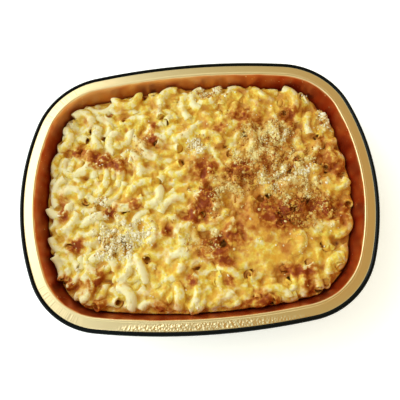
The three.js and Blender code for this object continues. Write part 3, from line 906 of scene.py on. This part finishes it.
def tray_sheet(profile, angle, settings):
    """The foil's points, row by row and then the middles of its underside and floor, and the
    numbers that its lacquer needs. Rows of the floor shrink towards the middle, smooth noise
    moves the wall, and the size of finer noise creases the front of the flange."""
    inset, height = profile[:, :1], profile[:, 1:]
    on_floor = inset > PANEL_INSET - 1
    outline = rim_points(angle, np.minimum(inset + HAIR * (inset < 1), HALF_LENGTH - 0.01))
    inwards = np.clip((inset - WALL_TOP_INSET) / (HALF_LENGTH - WALL_TOP_INSET), 0, 1)
    shrunk = rim_points(angle, WALL_TOP_INSET) * (1 - inwards[..., None])
    outline = np.where(on_floor[..., None], shrunk, outline)
    z = np.minimum(np.broadcast_to(height, outline.shape[:2]), TRAY_HEIGHT - HAIR)
    x, y = outline[..., 0], outline[..., 1]
    on_wall = smoothstep(2, 8, z) * smoothstep(44, 38, z) * ~on_floor
    stray = value_noise(x, y, 13, 31) * settings.wobble / MM * on_wall
    outline = outline + stray[..., None] * np.stack([np.cos(angle), np.sin(angle)], -1)
    flange = (inset > FLANGE_EDGES[0]) & (inset < FLANGE_EDGES[1]) & (height > FLANGE_TOP - 0.1)
    front = smoothstep(-76, -79, y) * smoothstep(-52, -40, x) * smoothstep(72, 58, x)
    z = z + flange * front * np.abs(value_noise(x, y, 2.2, 32)) * settings.crinkle / MM
    corner = smoothstep(0.4, 0.8, np.abs(np.sin(2 * angle))) * smoothstep(-40, -70, x)
    corner = np.maximum(corner, 0.55 * smoothstep(-85, -97, x))
    # Partly painted reflection: below the ridge the wall takes the baked-on colours, which also
    # stand for the gold and the food reflected in it.
    past_ridge = inset - WALL_TOP_INSET + 0.2 * value_noise(x, y, 5, 34)
    film_and_painted_reflection = smoothstep(0.3, 0.9, past_ridge) * smoothstep(20, 30, z)
    # Painted light: the wall is lighter at the back left, where it catches the window.
    film_and_painted_reflection = film_and_painted_reflection * (1 - 0.5 * smoothstep(35, 70, y) * smoothstep(60, 0, x))
    film_and_painted_reflection = film_and_painted_reflection * (0.9 + 0.1 * value_noise(x, y, 3, 35))
    values = {"stressed": flange * (0.25 + corner), "film_and_painted_reflection": film_and_painted_reflection, "crinkled": flange * front}
    values = {name: np.append(numbers.ravel(), [0, 0]) for name, numbers in values.items()}
    middles = [[0, 0, PANEL_RISE], [0, 0, FOIL + PANEL_RISE]]
    points = np.concatenate([outline, z[..., None]], -1).reshape(-1, 3)
    return np.concatenate([points, middles]), values


def tray_faces(rows):
    """Triangles of the sheet, and the fans that close its underside and its floor."""
    first, count = np.arange(TRAY_COLUMNS), rows * TRAY_COLUMNS
    sheet = as_triangles(grid_quads(rows, TRAY_COLUMNS, close_columns=True))
    floor = fan(first + count - TRAY_COLUMNS, count + 1)[:, [1, 0, 2]]
    return np.concatenate([sheet, fan(first, count), floor])


def along_rim(faces, rows, length):
    """Each face corner's distance along the rim and its row. Where a face crosses the seam, the
    corners past it count on from the rim's length."""
    distance = np.arange(TRAY_COLUMNS) * length / TRAY_COLUMNS
    u = np.append(np.tile(distance, rows), [0, 0])[faces]
    v = np.append(np.repeat(np.arange(rows), TRAY_COLUMNS), [0, 0])[faces]
    return np.stack([u + length * (u.max(1, keepdims=True) - u > length / 2), v], -1)


class MACARONI_OT_add_tray(bpy.types.Operator):
    """Adds the foil tray: its section swept round the oval"""

    bl_idname = "macaroni.add_tray"
    bl_label = "Foil Tray"

    def execute(self, context):
        settings = context.scene.macaroni_tray
        profile, gold_from = tray_profile()
        angles, length = rim_angles()
        points, values = tray_sheet(profile, angles[None, :-1], settings)
        faces = tray_faces(len(profile))
        foils = [gold_foil(settings), black_foil(settings)]
        uv = along_rim(faces, len(profile), length) * MM
        piece = add_piece("tray_foil", points, faces, foils, "foil_tray", values, uv)
        outside = (faces.min(1) // TRAY_COLUMNS < gold_from) & (faces.max(1) < len(points) - 1)
        piece.data.polygons.foreach_set("material_index", outside.astype(np.int32))
        return {"FINISHED"}


# ---- the elbows

SHAPE_SEED, SHADE_SEED = 5, 6


class ElbowSettings(bpy.types.PropertyGroup):
    """Make-up and colours of the macaroni and its sauce."""

    sides: IntProperty(name="Sides", description="Points round each tube", default=14, min=6)
    squash: number_property(
        "Squash", "How far cooking flattens the softest tubes", 0.13, **{**SHARE, "max": 0.5}
    )
    # Partly painted light: the pale ground shows on the heights and the window side as painted
    # highlight, and yellow and golden take the hollows and the right as painted shade, besides the
    # food's own colours.
    cream_and_highlight: colour_property("Cream", "Pasta and sauce on the heights", "#ECE1B2")
    yellow: colour_property("Yellow", "Sauce on the slopes", "#E6CE5A")
    golden: colour_property("Golden", "Richer sauce between the elbows", "#DCA636")
    orange: colour_property("Orange", "Melted red cheddar", "#D08828")
    # Painted shade: the next two darken the sauce in the hollows and along the wall, partly a richer
    # sauce there, and darkest at the bottoms of the gaps.
    crevice_sauce_and_shade: colour_property("Crevice", "Sauce in the shade of the elbows", "#CE8A3E")
    gap_shade: colour_property("Deep", "Bottom of the gaps", "#682A10")
    toasted: colour_property("Toasted", "Cheese that has just caught", "#D6A048")
    browned: colour_property("Browned", "Toasted cheese", "#B46820")
    burnt: colour_property("Burnt", "Darkest spots", "#8E3C10")
    dust_light: colour_property("Light dust", "Palest of the crumb dust", "#E4D090")
    dust_middle: colour_property("Middle dust", "Most of the crumb dust", "#D09C40")
    dust_dark: colour_property("Dark dust", "Darkest of the crumb dust", "#AC6626")


def tube_profile():
    """Section of a tube's wall as (share of the length, share of the radius): out along the
    skin, over a rounded lip, and back along the bore."""
    skin = [(0.0, 0.84), (0.006, 0.95), (0.025, 1.0)]
    skin += [(share, 1.0) for share in np.linspace(0.12, 0.88, 9)]
    skin += [(0.975, 1.0), (0.994, 0.95), (1.0, 0.84)]
    bore = [(0.996, BORE_SHARE + 0.06), (0.95, BORE_SHARE)]
    bore += [(share, BORE_SHARE) for share in (0.75, 0.5, 0.25)]
    bore += [(0.05, BORE_SHARE), (0.004, BORE_SHARE + 0.06)]
    return np.array(skin + bore)


def elbow_surfaces(elbows, sides, squash):
    """Tube walls bent along their elbows: each point stands off the path by the side and up
    directions, turned about the tangent. Cooking has flattened each tube by its own share and
    left swells along it, dents, and slightly slanted cuts at its ends."""
    rng = np.random.default_rng(SHAPE_SEED)
    each = (len(elbows["x"]), 1, 1)
    profile = tube_profile()
    share = np.broadcast_to(profile[:, 0], (each[0], len(profile)))
    centre = elbow_path(elbows, share)
    tangent = elbow_path(elbows, share + PATH_STEP) - elbow_path(elbows, share - PATH_STEP)
    tangent /= np.linalg.norm(tangent, axis=-1, keepdims=True)
    roll, yaw = elbows["roll"][:, None], elbows["yaw"][:, None]
    normal = [np.sin(roll) * np.sin(yaw), -np.sin(roll) * np.cos(yaw), np.cos(roll)]
    side = np.cross(tangent, np.stack(normal, -1))
    side /= np.linalg.norm(side, axis=-1, keepdims=True)
    up = np.cross(side, tangent)
    angle = (np.arange(sides) * TURN / sides)[None, None, :]
    share = share[..., None]
    flat = rng.uniform(0, squash, each)
    flat_phase = rng.uniform(0, TURN, each) + 1.5 * share
    wave = rng.uniform(0, TURN, each)
    swell = 1 + 0.025 * np.sin(9 * share + wave) + rng.normal(0, 0.03, each)
    radius = TUBE_RADIUS * profile[None, :, 1:] * swell * (1 + flat * np.cos(2 * angle - flat_phase))
    dents = value_noise(3 * angle + flat_phase, 20 * share + wave, 2.3, 7)
    radius = radius * (1 + 0.05 * dents)
    slant = rng.uniform(-0.5, 0.5, each) * (2 * share - 1) ** 5
    out, over = polar(radius, angle)
    points = centre[:, :, None] + out[..., None] * side[:, :, None]
    points = points + over[..., None] * up[:, :, None]
    points = points + (slant * out)[..., None] * tangent[:, :, None]
    quads = grid_quads(len(profile), sides, True, True)
    faces = quads[None] + np.arange(each[0])[:, None, None] * len(profile) * sides
    return points.reshape(-1, 3), faces.reshape(-1, 4)


class MACARONI_OT_add_elbows(bpy.types.Operator):
    """Adds the heap of cooked elbows, each a hollow tube bent along its own arc"""

    bl_idname = "macaroni.add_elbows"
    bl_label = "Macaroni Elbows"

    def execute(self, context):
        settings = context.scene.macaroni_elbows
        elbows = heap()
        points, faces = elbow_surfaces(elbows, settings.sides, settings.squash)
        count = len(elbows["x"])
        own = np.random.default_rng(SHADE_SEED).normal(0, 0.13, count)
        own = np.repeat(own, len(points) // count)
        values = finish_values(*points.T, own)
        material = baked_food("cooked_pasta", settings, 2.2, 0.42)
        add_piece("elbows", points, faces, [material], "macaroni", values)
        return {"FINISHED"}


# ---- the cheese

CHEESE_COLUMNS = 330
CHEESE_ROWS = 256
EDGE_INSETS = (10.5, 13.5)  # the wall at the food's edge lies between these
EDGE_FOOT = 28.0  # how low the sauce's edge runs down the wall
FOOT_HEIGHTS = (25.0, 18.0)  # rings of points down the wall, above those round the floor's corner


def cheese_surface():
    """The sauce from above: a square grid whose rays from the middle are scaled so that its
    edge meets the sloping wall, each point raised to the sauce's height."""
    u = np.linspace(-1, 1, CHEESE_COLUMNS)[None, :]
    v = np.linspace(-1, 1, CHEESE_ROWS)[:, None]
    ring = np.maximum(np.abs(u), np.abs(v))
    bearing = np.arctan2(v * HALF_WIDTH, u * HALF_LENGTH)
    outer, inner = (reach(bearing, inset) for inset in EDGE_INSETS)
    x, y = polar(ring * outer, bearing)
    z = np.where(ring > 0.999, EDGE_FOOT, sample(food_maps()["sauce"], x, y))
    inwards = (wall_inset(z) + GAP - EDGE_INSETS[0]) / (EDGE_INSETS[1] - EDGE_INSETS[0])
    x, y = polar(ring * (outer + (inner - outer) * inwards), bearing)
    z = np.where(ring > 0.999, EDGE_FOOT, sample(food_maps()["sauce"], x, y))
    return np.stack([x, y, z], -1)


class MACARONI_OT_add_cheese(bpy.types.Operator):
    """Adds the sauce and melted cheese that hold the elbows, down to the tray's floor"""

    bl_idname = "macaroni.add_cheese"
    bl_label = "Cheese Sauce"

    def execute(self, context):
        settings = context.scene.macaroni_elbows
        top = cheese_surface()
        rows, columns = top.shape[:2]
        index = np.arange(rows * columns).reshape(rows, columns)
        edge = np.concatenate([index[0, :-1], index[:-1, -1], index[-1, :0:-1], index[:0:-1, 0]])
        rim = top.reshape(-1, 3)[edge]
        bearing = np.arctan2(rim[:, 1], rim[:, 0])
        floor = FOIL + PANEL_RISE + GAP
        side = [(wall_inset(z) + GAP, z) for z in FOOT_HEIGHTS]
        side += [(inset + GAP, max(z + GAP, floor)) for inset, z in fillet_profile(0, 5)[::-1]]
        insets, heights = np.array(side)[..., None].transpose(1, 0, 2)
        x, y = polar(np.array([reach(bearing, inset) for inset in insets]), bearing)
        rings = np.stack([x, y, heights + 0 * x], -1).reshape(-1, 3)
        points = np.concatenate([top.reshape(-1, 3), rings, [[0, 0, floor]]])
        ids = np.concatenate([edge, rows * columns + np.arange(len(edge) * len(side))])
        quads = ids[grid_quads(len(side) + 1, len(edge), close_columns=True)][:, ::-1]
        bottom = fan(ids[-len(edge) :], len(points) - 1)
        sheet = as_triangles(grid_quads(rows, columns))
        faces = np.concatenate([sheet, as_triangles(quads), bottom])
        values = finish_values(*points.T)
        material = baked_food("cheddar_sauce", settings, 1.8, 0.46)
        add_piece("cheese", points, faces, [material], "macaroni", values)
        return {"FINISHED"}


# ---- the crumbs

SAMPLES = 60000  # places tried, of which each kind of crumb keeps its share
FOOD_X, FOOD_Y = 96, 73
EDGE_CLEAR = 13.5  # how far inside the outline the crumbs stop
CLUMP = 4.0  # width of the clumps that they lie in
SIZE_SPREAD = 0.4  # of the logarithm of a grain's size
CRUMB_SEED = 51
STANDS_OUT = 0.05  # of its radius


class CrumbSettings(bpy.types.PropertyGroup):
    """Numbers, sizes and colours of the breadcrumbs."""

    pale_count: IntProperty(name="Pale", description="Grains that stay pale", default=9500)
    toasted_count: IntProperty(name="Toasted", description="Grains that brown", default=9800)
    radius: number_property("Radius", "Half the width of a middling grain", 0.47 * MM, **LENGTH)
    white: colour_property("White", "Lightest grains", "#EFE6CC")
    straw: colour_property("Straw", "Most of the pale grains", "#E2CE8E")
    tan: colour_property("Tan", "Most of the toasted grains", "#CE9A40")
    brown: colour_property("Brown", "Well toasted grains", "#A0561C")


def icosahedron():
    """The twelve corners and twenty faces of an icosahedron of radius 1: three golden
    rectangles square to each other."""
    golden = (1 + math.sqrt(5)) / 2
    corners = [(-1, golden), (1, golden), (-1, -golden), (1, -golden)]
    points = [(x, y, 0) for x, y in corners] + [(0, y, z) for y, z in corners]
    points += [(x, 0, z) for z, x in corners]
    faces = [
        (0, 11, 5), (0, 5, 1), (0, 1, 7), (0, 7, 10), (0, 10, 11), (1, 5, 9), (5, 11, 4),
        (11, 10, 2), (10, 7, 6), (7, 1, 8), (3, 9, 4), (3, 4, 2), (3, 2, 6), (3, 6, 8),
        (3, 8, 9), (4, 9, 5), (2, 4, 11), (6, 2, 10), (8, 6, 7), (9, 8, 1),
    ]
    return np.array(points) / math.hypot(1, golden), np.array(faces)


def turned(points, rng):
    """Each grain's points turned by its own random rotation, made from a unit quaternion."""
    w, x, y, z = rng.normal(size=(4, len(points))) + 1e-9
    size = np.sqrt(w * w + x * x + y * y + z * z)
    w, x, y, z = w / size, x / size, y / size, z / size
    matrix = [
        [1 - 2 * (y * y + z * z), 2 * (x * y - w * z), 2 * (x * z + w * y)],
        [2 * (x * y + w * z), 1 - 2 * (x * x + z * z), 2 * (y * z - w * x)],
        [2 * (x * z - w * y), 2 * (y * z + w * x), 1 - 2 * (x * x + y * y)],
    ]
    return np.einsum("ijn,nkj->nki", np.array(matrix), points)


def grains(centres, radii, rng):
    """Lumpy grains: icosahedra with each corner pushed in or out, stretched and turned."""
    ball, faces = icosahedron()
    shape = ball[None] * rng.uniform(0.6, 1.3, (len(centres), len(ball), 1))
    shape = shape * rng.uniform(0.55, 1.25, (len(centres), 1, 3))
    points = turned(shape, rng) * radii[:, None, None] + centres[:, None]
    all_faces = faces[None] + np.arange(len(centres))[:, None, None] * len(ball)
    return points.reshape(-1, 3), all_faces.reshape(-1, 3)


def scatter(places, sparse, count, rng):
    """Places for grains on the food: random ones kept by how thickly crumbs lie there, broken
    up by noise, and never down in a gap."""
    maps = food_maps()
    x, y = rng.uniform(-FOOD_X, FOOD_X, SAMPLES), rng.uniform(-FOOD_Y, FOOD_Y, SAMPLES)
    broken = 0.6 * value_noise(x, y, CLUMP, 41) + 0.5 * value_noise(x, y, CLUMP / 2.5, 43)
    thick = smoothstep(0.2, 0.95, patches(x, y, places) * (1 + broken))
    z = sample(maps["tops"], x, y)
    relief = z - sample(maps["level"], x, y)
    keep = rng.uniform(0, 1, len(x)) < (thick + sparse) * smoothstep(-2.2, -0.6, relief)
    keep &= depth_inside(x, y) > EDGE_CLEAR
    return np.stack([x, y, z], -1)[keep][:count]


class MACARONI_OT_add_crumbs(bpy.types.Operator):
    """Adds two kinds of breadcrumb, pale and toasted, where they lie on the food"""

    bl_idname = "macaroni.add_crumbs"
    bl_label = "Breadcrumbs"

    def execute(self, context):
        settings = context.scene.macaroni_crumbs
        shades = (settings.white, settings.straw, settings.tan, settings.brown)
        kinds = (
            ("crumbs_pale", PALE, 0.005, settings.pale_count, shades[:3], 0.1),
            ("crumbs_toasted", CRUMBED, 0.0, settings.toasted_count, shades[1:], 0.35),
        )
        for seed, (name, places, sparse, count, colours, heat) in enumerate(kinds, CRUMB_SEED):
            rng = np.random.default_rng(seed)
            centres = scatter(places, sparse, count, rng)
            radii = settings.radius / MM * np.exp(rng.normal(0, SIZE_SPREAD, len(centres)))
            centres[:, 2] += STANDS_OUT * radii
            points, faces = grains(centres, radii, rng)
            each = len(points) // len(centres)
            baked = finish_values(*centres.T)
            shade = heat + 0.8 * value_noise(centres[:, 0], centres[:, 1], 4, 42)
            # Through golden the grains take on its painted light as well: browner in the hollows and
            # to the right.
            shade = shade + 0.5 * baked["browned"] + 0.25 * (baked["golden"] - 0.8)
            shade = shade + rng.uniform(-0.25, 0.25, len(centres))
            values = {"shade": np.repeat(np.clip(shade, 0, 1), each)}
            material = breadcrumb(name, *colours)
            add_piece(name, points, faces, [material], "macaroni", values)
        return {"FINISHED"}


# ---- the stage

SENSOR = 36.0
NEAREST = 0.01  # metres from the camera, as all sizes of the stage are
WINDOW_PLACE, WINDOW_SIZE, WINDOW_COLOUR = (-0.95, 0.45, 1.0), 1.1, (0.9, 0.96, 1.0)
FLOOR_HALF = 2.0


class StageSettings(bpy.types.PropertyGroup):
    """The camera, the floor and the lights."""

    camera_place: FloatVectorProperty(
        name="Camera", description="Where the camera stands", subtype="TRANSLATION", size=3,
        default=(0.0089, -0.06882, 0.27559), precision=5,
    )
    camera_turn: FloatVectorProperty(
        name="Camera turn", description="Tilt, roll and heading of the camera", subtype="EULER",
        size=3, default=tuple(math.radians(a) for a in (14.701, 2.642, -3.554)),
    )
    lens: number_property("Lens", "Focal length in millimetres on a 36 mm sensor", 36.0)
    key_power: number_property(
        "Window", "Strength of the cool light from the left", 11.2, subtype="POWER"
    )
    room_strength: number_property("Room", "Strength of the light from all round", 2.15)
    window_side: colour_property("Window side", "Light from the left", "#98A8B0")
    ceiling: colour_property("Ceiling", "Light from overhead", "#868568")
    pale_walls: colour_property("Pale walls", "Light from the sides", "#DEE9E0")
    room_side: colour_property("Room side", "Dim warm light from the right", "#8C6A24")
    floor: colour_property("Floor", "Plain pale floor", "#FFFFFF")


def add_light(name, place, size, power, colour):
    """A square area light that faces the middle of the food."""
    data = bpy.data.lights.new(name, "AREA")
    data.shape = "SQUARE"
    data.size = size
    data.energy = power
    data.color = colour
    light = bpy.data.objects.new(name, data)
    light.location = place
    light.rotation_euler = (-light.location).to_track_quat("-Z", "Y").to_euler()
    bpy.context.scene.collection.objects.link(light)
    return light


def studio_world(settings):
    """A room seen as light alone. Overhead it is bright towards the window, neutral in the
    middle and dim and warm to the right, and lower down pale walls glow on the other sides, and
    near the floor all round."""
    world = bpy.data.worlds.new("studio")
    world.use_nodes = True
    tree = world.node_tree
    direction = add_node(tree, "ShaderNodeTexCoord").outputs["Generated"]
    towards = add_node(tree, "ShaderNodeSeparateXYZ", {"Vector": direction}).outputs
    light = layered(
        tree, towards, (*settings.window_side, 1),
        (settings.ceiling, "X", -0.45, 0),
        (settings.pale_walls, "Z", 0.75, 0.4),
        (settings.room_side, "X", 0.05, 0.45),
        (settings.pale_walls, "Z", 0.35, 0.2),
    )
    inputs = {"Color": light, "Strength": settings.room_strength}
    fill_inputs(tree, tree.nodes["Background"], inputs)
    return world


def add_floor(settings):
    """A plain floor of matt white paper just under the tray. It glows a little, as paper does
    in a bright room."""
    signs = ((-1, -1), (1, -1), (1, 1), (-1, 1))
    corners = [(x * FLOOR_HALF, y * FLOOR_HALF, -HAIR * MM) for x, y in signs]
    mesh = bpy.data.meshes.new("floor")
    mesh.from_pydata(corners, [], [(0, 1, 2, 3)])
    material, tree, shader = new_material("matt_white_paper")
    inputs = dict.fromkeys(("Base Color", "Emission Color"), (*settings.floor, 1))
    fill_inputs(tree, shader, {**inputs, "Roughness": 0.9, "Emission Strength": 0.4})
    mesh.materials.append(material)
    floor = bpy.data.objects.new("floor", mesh)
    bpy.context.scene.collection.objects.link(floor)


def add_camera(settings):
    """The camera, which takes in the whole tray from a little in front of it."""
    data = bpy.data.cameras.new("camera")
    data.lens = settings.lens
    data.sensor_width = SENSOR
    data.clip_start = NEAREST
    camera = bpy.data.objects.new("camera", data)
    camera.location = settings.camera_place
    camera.rotation_euler = settings.camera_turn
    bpy.context.scene.collection.objects.link(camera)
    bpy.context.scene.camera = camera


class MACARONI_OT_add_stage(bpy.types.Operator):
    """Adds the camera, a plain floor and soft studio lights"""

    bl_idname = "macaroni.add_stage"
    bl_label = "Studio"

    def execute(self, context):
        settings = context.scene.macaroni_stage
        add_camera(settings)
        add_floor(settings)
        add_light("window", WINDOW_PLACE, WINDOW_SIZE, settings.key_power, WINDOW_COLOUR)
        context.scene.world = studio_world(settings)
        context.scene.view_settings.view_transform = "Standard"
        return {"FINISHED"}


# ---- the add-on

GROUPS = {
    "macaroni_tray": (TraySettings, MACARONI_OT_add_tray),
    "macaroni_elbows": (ElbowSettings, MACARONI_OT_add_elbows, MACARONI_OT_add_cheese),
    "macaroni_crumbs": (CrumbSettings, MACARONI_OT_add_crumbs),
    "macaroni_stage": (StageSettings, MACARONI_OT_add_stage),
}


class VIEW3D_PT_macaroni(bpy.types.Panel):
    """Lists the tray, the food and the stage with their settings"""

    bl_label = "Macaroni and Cheese"
    bl_space_type = "VIEW_3D"
    bl_region_type = "UI"
    bl_category = "Macaroni"

    def draw(self, context):
        for name, (group, *operators) in GROUPS.items():
            box = self.layout.box()
            for operator in operators:
                box.operator(operator.bl_idname)
            for setting in group.__annotations__:
                box.prop(getattr(context.scene, name), setting)


def register():
    for name, classes in GROUPS.items():
        for cls in classes:
            bpy.utils.register_class(cls)
        setattr(bpy.types.Scene, name, PointerProperty(type=classes[0]))
    bpy.utils.register_class(VIEW3D_PT_macaroni)


def unregister():
    bpy.utils.unregister_class(VIEW3D_PT_macaroni)
    for name, classes in GROUPS.items():
        delattr(bpy.types.Scene, name)
        for cls in reversed(classes):
            bpy.utils.unregister_class(cls)


def main():
    """Adds every piece and the stage."""
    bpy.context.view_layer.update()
    register()
    bpy.ops.macaroni.add_stage()
    bpy.ops.macaroni.add_tray()
    bpy.ops.macaroni.add_elbows()
    bpy.ops.macaroni.add_cheese()
    bpy.ops.macaroni.add_crumbs()
    bpy.context.view_layer.update()


if __name__ == "__main__":
    main()
